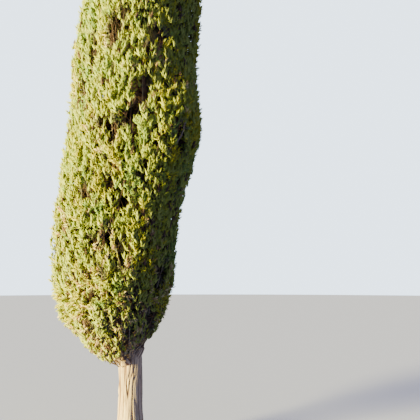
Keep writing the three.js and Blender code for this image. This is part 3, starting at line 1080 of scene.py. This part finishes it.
@functools.cache
def fine_grain():
    """Fine grain for small things: roughness about a middle value, and a height for bump."""
    group, given, result = group_with(
        "fine_grain",
        [("Vector", "Vector", None), ("Scale", "Float", 260.0), ("Roughness", "Float", 0.6),
         ("Spread", "Float", 0.2)],
        [("Roughness", "Float"), ("Height", "Float")],
    )
    grain = noise_node(group, given["Vector"], given["Scale"], 2)
    spread = math_node(group, "MULTIPLY", math_node(group, "SUBTRACT", grain, 0.5), given["Spread"])
    group.links.new(math_node(group, "ADD", spread, given["Roughness"]), result["Roughness"])
    group.links.new(grain, result["Height"])
    return group


@functools.cache
def bark_coat():
    """Fibrous bark: strips and furrows in their own colours, weathered in long upright streaks."""
    group, given, result = group_with(
        "bark_coat",
        [("Vector", "Vector", None), ("Furrow", "Float", 0.0), ("Strip", "Color", None),
         ("Weathered", "Color", None), ("Deep", "Color", None)],
        [("Color", "Color"), ("Roughness", "Float"), ("Height", "Float")],
    )
    calculate = functools.partial(math_node, group)
    stretch = add_node(group, "Mapping", {"Vector": given["Vector"], "Scale": BARK_STRETCH})
    streaks = noise_node(group, stretch.outputs["Vector"], *STREAK_NOISE)
    fibres = noise_node(group, stretch.outputs["Vector"], *FIBRE_NOISE)
    patches = noise_node(group, given["Vector"], *PATCH_NOISE)
    both = calculate("MULTIPLY", calculate("ADD", streaks, patches), 0.5)
    limits = {"Value": both, "From Min": WEATHERED_FROM, "From Max": WEATHERED_TO}
    weathering = add_node(group, "MapRange", limits).outputs["Result"]
    weathered = mix_colours(group, weathering, given["Strip"], given["Weathered"])
    dark_fibre = calculate("MULTIPLY", calculate("SUBTRACT", FIBRE_LEVEL, fibres), FIBRE_CONTRAST)
    depth = calculate("MINIMUM", calculate("MAXIMUM", given["Furrow"], dark_fibre), 1.0)
    roughness = calculate("ADD", calculate("MULTIPLY", fibres, FIBRE_GLOSS), BARK_ROUGHNESS)
    height = calculate("ADD", fibres, calculate("MULTIPLY", streaks, STREAK_HEIGHT))
    group.links.new(mix_colours(group, depth, weathered, given["Deep"]), result["Color"])
    group.links.new(roughness, result["Roughness"])
    group.links.new(height, result["Height"])
    return group


def coated(name, group, values, specular, bump_strength, bump_height):
    """A material with the gloss and the bump of a shared coat, its surface's inputs and the coat."""
    material = bpy.data.materials.new(name)
    material.use_nodes = True
    tree = material.node_tree
    surface = tree.nodes["Principled BSDF"].inputs
    surface["Specular IOR Level"].default_value = specular
    place = add_node(tree, "TexCoord").outputs["Object"]
    coat = add_node(tree, "Group", {"Vector": place, **values}, node_tree=group)
    relief = {"Strength": bump_strength, "Distance": bump_height, "Height": coat.outputs["Height"]}
    tree.links.new(coat.outputs["Roughness"], surface["Roughness"])
    tree.links.new(add_node(tree, "Bump", relief).outputs["Normal"], surface["Normal"])
    return material, surface, coat


def grained(name, colour, roughness, scale, bump_height, specular=0.3):
    """One plain colour, with fine grain in the gloss and the bump."""
    values = {"Scale": scale, "Roughness": roughness}
    material, surface, _ = coated(
        name, fine_grain(), values, specular, bump_strength=0.5, bump_height=bump_height
    )
    surface["Base Color"].default_value = (*colour, 1)
    return material


def bark_material(name, colours):
    """Bark, darker where the mesh says that it has a furrow."""
    values = {
        "Strip": (*colours.bark_strip, 1),
        "Weathered": (*colours.bark_weathered, 1),
        "Deep": (*colours.bark_deep, 1),
    }
    material, surface, coat = coated(
        name, bark_coat(), values, specular=0.25, bump_strength=0.8, bump_height=0.003
    )
    tree = material.node_tree
    furrow = add_node(tree, "Attribute", attribute_name="furrow")
    tree.links.new(furrow.outputs["Fac"], coat.inputs["Furrow"])
    tree.links.new(coat.outputs["Color"], surface["Base Color"])
    return material


def browned_share(points):
    """How likely foliage has browned: in waves, in patches, near the foot and in hanging streaks. Tan
    leaves grow more common lower down, where their pale colour is partly painted light.
    """
    waves = sum(np.sin(points @ wave + shift) for *wave, shift in BROWN_WAVES) / len(BROWN_WAVES)
    height = points[:, 2]
    radius, azimuth, _ = around_trunk(points)
    share = BROWN_BASE + BROWN_WAVE_SHARE * np.maximum(waves - BROWN_WAVE_FLOOR, 0)
    in_patch = share_of(BROWN_PATCHES, height, azimuth)
    near_foot = np.interp(height, BROWN_FOOT_LEVELS, (1, 0))
    near_foot *= np.interp(radius, BROWN_FOOT_RADII, (1, 0))
    share = np.maximum(share, BROWN_PATCH_SHARE * np.maximum(in_patch, near_foot))
    streaks = cell_noise(*DRY_NOISE, azimuth + math.pi, height)
    streaks = np.clip(DRY_CONTRAST * streaks - DRY_THRESHOLD, 0, 1)
    # Partly painted light: pale tan leaves grow more common towards the foot
    dry_and_painted_light = np.interp(height, DRY_AND_PAINTED_LIGHT_LEVELS, DRY_AND_PAINTED_LIGHT_SHARES) * (DRY_FLOOR + (1 - DRY_FLOOR) * streaks)
    return np.maximum(share, dry_and_painted_light)


def deal_leaf_colours(space, sprigs, tufts):
    """The number of each sprig's material, from deep green inside to gold at the face, or browned. The
    darker colours deeper inside and in and round the hollows are painted shade.
    """
    draw = space.draw(COLOUR_SEED)
    _, azimuth, share = around_trunk(sprigs.start)
    height = sprigs.start[:, 2]
    slow = sum(np.sin(rate * height + turns * azimuth + shift) for rate, turns, shift in WARMTH_WAVES)
    shoots = tufts.parent.max() + 1
    by_shoot = draw.normal(0, WARMTH_BY_SHOOT, shoots)[tufts.parent]
    by_tuft = (by_shoot + draw.normal(0, WARMTH_BY_SPRIG, len(tufts.length)))[sprigs.parent]
    warmth = by_tuft + draw.normal(0, WARMTH_BY_SPRIG, len(height)) + WARMTH_WAVE_SHARE * slow
    # Painted shade: sprigs deeper inside the crown are dealt darker colours, those at its face lighter
    # ones
    warmth += WARMTH_BASE + PAINTED_SHADE_BY_DEPTH * (share - WARMTH_LEVEL)
    # Painted shade: leaves in the hollows are dealt darker colours
    hollow = share_of(HOLLOWS, height, azimuth)
    # Partly painted shade: leaves in the green patches are dealt darker, greener colours
    warmth -= HOLLOW_PAINTED_SHADE * hollow + PATCH_GREENING_AND_SHADE * share_of(GREEN_AND_PAINTED_SHADE_PATCHES, height, azimuth)
    finish = np.digitize(warmth, WARMTH_STEPS)
    by_chance = (draw.random(shoots)[tufts.parent] + draw.random(len(tufts.length))) / 2
    browned_tuft = by_chance < browned_share(tufts.start)
    brown = browned_tuft[sprigs.parent] & (draw.random(len(height)) < BROWN_IN_TUFT)
    finish[brown] = DRY_FINISH + (draw.random(int(brown.sum())) < RUST_SHARE)
    # Painted shade: some leaves round the hollows take the darkest colour
    finish[draw.random(len(height)) < RIM_SHADE * hollow] = SHADE_FINISH
    return finish


# Properties

def distance(name, description, default):
    return FloatProperty(name=name, description=description, default=default, min=0.001, unit="LENGTH")


def tint(name, default):
    return FloatVectorProperty(
        name=name, description=f"Colour of the {name.lower()}", default=default,
        subtype="COLOR", min=0, max=1,
    )


class CypressSizes(PropertyGroup):
    shoot_spacing: distance("Shoot spacing", "Distance between shoots on the crown's face", 0.13)
    shoot_length: distance("Shoot length", "Length of the leafy part of a shoot", 0.32)
    tuft_spacing: distance("Tuft spacing", "Distance between tufts along a shoot", 0.043)
    tuft_length: distance("Tuft length", "Length of a tuft of sprigs", 0.105)
    sprig_spacing: distance("Sprig spacing", "Distance between sprigs along a tuft", 0.0155)
    sprig_length: distance("Sprig length", "Length of a sprig of scale leaves", 0.048)
    inner_spacing: distance("Inner spray spacing", "Distance between sprays inside the crown", 0.13)
    inner_length: distance("Inner spray length", "Length of a spray inside the crown", 0.34)
    branchlets: IntProperty(
        name="Branchlets", description="Branchlets of a sprig", default=5, min=3, max=9
    )


Sizes = namedtuple("Sizes", tuple(CypressSizes.__annotations__))


def chosen_sizes(context):
    """The sizes in the panel, as plain numbers."""
    settings = context.scene.cypress_sizes
    return Sizes(*(getattr(settings, name) for name in Sizes._fields))


class CypressColours(PropertyGroup):
    # Painted shade: the colour dealt to leaves round the hollows
    leaf_shade: tint("Leaves round the hollows", (0.16, 0.15, 0.08))
    leaf_deep: tint("Inner leaves", (0.26, 0.38, 0.09))
    leaf_green: tint("Green leaves", (0.32, 0.43, 0.085))
    leaf_olive: tint("Olive leaves", (0.40, 0.47, 0.075))
    leaf_yellow: tint("Yellow-green leaves", (0.47, 0.49, 0.05))
    leaf_gold: tint("Golden tips", (0.52, 0.475, 0.04))
    # Dealt most often at the foot, where these pale leaves are partly painted light
    leaf_tan: tint("Dry leaves", (0.80, 0.64, 0.28))
    leaf_rust: tint("Dead leaves", (0.50, 0.30, 0.14))
    inner_green: tint("Inner sprays", (0.42, 0.46, 0.09))
    # Painted shade: the colour of the coarse sprays further inside the crown
    inner_dark: tint("Shaded inside", (0.12, 0.11, 0.065))
    inner_brown: tint("Dead inside", (0.15, 0.09, 0.06))
    twig: tint("Twigs", (0.15, 0.085, 0.055))
    dead_twig: tint("Bare dead twigs", (0.42, 0.31, 0.21))
    bark_strip: tint("Bark strips", (1.0, 0.76, 0.46))
    bark_weathered: tint("Weathered bark", (0.78, 0.51, 0.29))
    bark_deep: tint("Bark furrows", (0.19, 0.10, 0.06))


# Pieces

def stem_path(space, heights):
    """The middle of a plume, where its stem runs, kept between its foot and its top."""
    top = space.low + (space.high - space.low) * STEM_TOP
    return middle(space, np.clip(heights, space.low + BOUGH_FOOT_MARGIN, top))


def stem_tube(space):
    """A plume's stem runs on from its bough's tip, or leaves the trunk."""
    top = space.low + (space.high - space.low) * STEM_TOP
    heights = np.linspace(space.low + BOUGH_FOOT_MARGIN, top, STEM_LEVELS)
    if space.tier < TIERS_WITH_BOUGHS:
        start = bough_line(space, [STEM_START])
        width = bough_radius(space, 1.0)
    else:
        start = trunk_line(min(space.low - STEM_DROP, TRUNK_HEIGHT - STEM_TOP_GAP))[None]
        width = STEM_SHARE * trunk_radius(start[0, 2], space.azimuth)
    path = np.concatenate([start, middle(space, heights)])
    widths = (width, min(width, STEM_RADII[0]), STEM_RADII[1])
    return tubes(path[None], np.interp(np.linspace(0, 1, len(path)), STEM_CLIMBS, widths), STEM_SIDES)


def pulled_in(points):
    """The points, moved towards the trunk's line where bare twigs would stand out of the foliage."""
    _, azimuth, share = around_trunk(points)
    height = points[..., 2]
    line = trunk_line(height)
    limit = face_share(height, azimuth) - TWIG_SET_BACK / crown_reach(height, azimuth)
    return line + (points - line) * np.minimum(1, limit / share)[..., None]


def shoot_tubes(space, sizes):
    """Twigs climb from their forks on the stem to the shoots and run on to the shoots' tips."""
    shoots = grow_shoots(space, sizes)
    roots, tips = shoots.start, shoots.tips()
    level = stem_path(space, roots[:, 2])
    away = np.hypot(*(roots - level)[:, :2].T)
    fork = stem_path(space, roots[:, 2] - TWIG_RISE * away)
    bend = fork * (1 - TWIG_BEND) + roots * TWIG_BEND
    bend[:, 2] -= TWIG_SAG * (roots[:, 2] - fork[:, 2])
    halfway = roots + shoots.heading * (0.5 * shoots.length)[:, None]
    path = pulled_in(np.stack([fork, bend, roots, halfway, tips], axis=1))
    dead = space.draw(DEAD_SEED).random(len(roots)) < DEAD_TWIGS * browned_share(tips)
    return tubes(path, SHOOT_RADII, TWIG_SIDES, dead.astype(int))


def tuft_tubes(space, sizes):
    tufts = grow_tufts(space, sizes)
    return tubes(np.stack([tufts.start, tufts.tips()], axis=1), TUFT_RADII, TUFT_SIDES)


def inner_shapes(space, sizes, templates):
    """The sprays inside a plume, layer by layer, each spray turned to face outward."""
    for layer, template in enumerate(templates):
        sprays, facing = grow_inner(space, sizes, layer)
        draw = space.draw(INNER_ROLL_SEED + layer)
        roll = draw.normal(0, INNER_ROLL, len(facing))
        browned = draw.random(len(facing)) < INNER_BROWN_SHARES[layer]
        # Sprays further in are coloured dark as painted shade, unless browned
        finish = np.where(browned, len(INNER_FINISHES) - 1, min(layer, 1))
        yield placed(template, sprays, roll, finish, facing)


def sprig_shapes(space, sizes, templates):
    """The sprigs of a plume, each from one of the templates and in its own colour."""
    sprigs = grow_sprigs(space, sizes)
    finish = deal_leaf_colours(space, sprigs, grow_tufts(space, sizes))
    draw = space.draw(SPRIG_ROLL_SEED)
    kind = draw.integers(0, len(templates), len(finish))
    roll = draw.uniform(0, 2 * math.pi, len(finish))
    for number, template in enumerate(templates):
        mine = kind == number
        yield placed(template, sprigs.only(mine), roll[mine], finish[mine])


def grow_tiers(kind, slot, materials, shapes_in):
    """One piece for each tier, made of the shapes in its plumes and standing for them."""
    for tier in range(len(TIERS)):
        here = [space for space in spaces() if space.tier == tier]
        shapes = [shape for space in here for shape in shapes_in(space)]
        piece = mesh_piece(f"{kind}_tier{tier + 1}", shapes, materials)
        finished(piece, slot, *(f"plume_{space.label}" for space in here))


class CYPRESS_OT_trunk(Operator):
    """Trunk with its root flare and the relief of its bark"""
    bl_idname = "cypress.trunk"
    bl_label = "Grow trunk"

    def execute(self, context):
        bark = bark_material("trunk_bark", context.scene.cypress_colours)
        trunk = rolled_limb("trunk_bark", TRUNK_SIDES, TRUNK_LEVELS, trunk_place, bark)
        finished(trunk, "bark", "trunk")
        return {"FINISHED"}


class CYPRESS_OT_boughs(Operator):
    """Boughs with a collar at the trunk and the relief of their bark"""
    bl_idname = "cypress.boughs"
    bl_label = "Grow boughs"

    def execute(self, context):
        bark = bark_material("bough_bark", context.scene.cypress_colours)
        for space in spaces():
            if space.tier < TIERS_WITH_BOUGHS:
                place = functools.partial(bough_place, space)
                bough = rolled_limb(f"bark_{space.label}", BOUGH_SIDES, BOUGH_LEVELS, place, bark)
                finished(bough, "bough_bark", f"bough_{space.label}")
        return {"FINISHED"}


class CYPRESS_OT_twigs(Operator):
    """Stems of the plumes, the twigs that fork from them, shoots and tufts"""
    bl_idname = "cypress.twigs"
    bl_label = "Grow twigs"

    def execute(self, context):
        sizes, colours = chosen_sizes(context), context.scene.cypress_colours
        kinds = (("twig_bark", colours.twig), ("dead_twig_bark", colours.dead_twig))
        grain = {"roughness": 0.8, "scale": 180, "bump_height": 0.002}
        materials = [grained(name, colour, **grain) for name, colour in kinds]
        grow_tiers("twigs", "bough_bark", materials, lambda space: (
            stem_tube(space), shoot_tubes(space, sizes), tuft_tubes(space, sizes)
        ))
        return {"FINISHED"}


class CYPRESS_OT_inner_foliage(Operator):
    """Small leafy sprays close behind the sprigs, and large ones further inside the crown, coloured
    dark as painted shade
    """
    bl_idname = "cypress.inner_foliage"
    bl_label = "Grow inner foliage"

    def execute(self, context):
        sizes, colours = chosen_sizes(context), context.scene.cypress_colours
        grain = {"roughness": 0.85, "scale": 200, "bump_height": 0.001, "specular": 0.1}
        materials = [grained(name, getattr(colours, name), **grain) for name in INNER_FINISHES]
        blade = blade_template(teeth=3, half_width=0.26, thickness=0.05)
        templates = (sprig_template(seed=30, branchlets=5, thickness=0.13), blade, blade)
        grow_tiers("inner", "foliage", materials, lambda space: inner_shapes(space, sizes, templates))
        return {"FINISHED"}


class CYPRESS_OT_sprigs(Operator):
    """Sprigs of scale leaves on every tuft, joined tier by tier"""
    bl_idname = "cypress.sprigs"
    bl_label = "Grow sprigs"

    def execute(self, context):
        sizes, colours = chosen_sizes(context), context.scene.cypress_colours
        grain = {"roughness": 0.7, "scale": 260, "bump_height": 0.001, "specular": 0.05}
        materials = [grained(name, getattr(colours, name), **grain) for name in LEAF_FINISHES]
        templates = [
            sprig_template(seed, sizes.branchlets, thickness=0.12) for seed in range(SPRIG_KINDS)
        ]
        grow_tiers("sprigs", "foliage", materials, lambda space: sprig_shapes(space, sizes, templates))
        return {"FINISHED"}


class CYPRESS_OT_stage(Operator):
    """Pale floor and backdrop, warm key light from the left, weak blue fill and the camera"""
    bl_idname = "cypress.stage"
    bl_label = "Set the stage"

    def execute(self, context):
        deselect_all()
        bpy.ops.mesh.primitive_circle_add(vertices=96, radius=70, fill_type="NGON")
        floor = context.object
        floor.name = "floor"
        pale = grained("pale_floor", FLOOR_COLOUR, roughness=0.85, scale=3, bump_height=0.001)
        floor.data.materials.append(pale)
        floor.visible_diffuse = False
        world = bpy.data.worlds.new("studio")
        context.scene.world = world
        world.use_nodes = True
        tree = world.node_tree
        seen = add_node(tree, "LightPath").outputs["Is Camera Ray"]
        fill, backdrop = (add_node(tree, "RGB").outputs["Color"] for _ in range(2))
        fill.default_value = FILL_COLOUR
        backdrop.default_value = BACKDROP_COLOUR
        both = mix_colours(tree, seen, fill, backdrop)
        tree.links.new(both, tree.nodes["Background"].inputs["Color"])
        turn = (math.radians(90 - KEY_ELEVATION), 0, math.radians(KEY_AZIMUTH))
        bpy.ops.object.light_add(type="SUN", rotation=turn)
        key = context.object
        key.name = "key_light"
        key.data.energy = KEY_STRENGTH
        key.data.angle = math.radians(KEY_ANGLE)
        key.data.color = KEY_COLOUR
        bpy.ops.object.camera_add(location=CAMERA_PLACE, rotation=(math.radians(CAMERA_TILT), 0, 0))
        camera = context.object
        camera.name = "camera"
        camera.data.lens = CAMERA_LENS
        context.scene.camera = camera
        return {"FINISHED"}


PIECE_OPERATORS = (
    CYPRESS_OT_trunk, CYPRESS_OT_boughs, CYPRESS_OT_twigs, CYPRESS_OT_inner_foliage, CYPRESS_OT_sprigs,
    CYPRESS_OT_stage,
)


class VIEW3D_PT_cypress(Panel):
    """Sizes, colours and the steps that grow the cypress"""
    bl_label = "Cypress"
    bl_space_type = "VIEW_3D"
    bl_region_type = "UI"
    bl_category = "Cypress"

    def draw(self, context):
        layout = self.layout
        for settings in (context.scene.cypress_sizes, context.scene.cypress_colours):
            box = layout.box()
            for name in settings.__annotations__:
                box.prop(settings, name)
        for operator in PIECE_OPERATORS:
            layout.operator(operator.bl_idname)


CLASSES = (CypressSizes, CypressColours, *PIECE_OPERATORS, VIEW3D_PT_cypress)


def register():
    for cls in CLASSES:
        bpy.utils.register_class(cls)
    bpy.types.Scene.cypress_sizes = PointerProperty(type=CypressSizes)
    bpy.types.Scene.cypress_colours = PointerProperty(type=CypressColours)


def unregister():
    del bpy.types.Scene.cypress_colours
    del bpy.types.Scene.cypress_sizes
    for cls in reversed(CLASSES):
        bpy.utils.unregister_class(cls)


def main():
    register()
    bpy.ops.cypress.trunk()
    bpy.ops.cypress.boughs()
    bpy.ops.cypress.twigs()
    bpy.ops.cypress.inner_foliage()
    bpy.ops.cypress.sprigs()
    bpy.ops.cypress.stage()


if __name__ == "__main__":
    main()
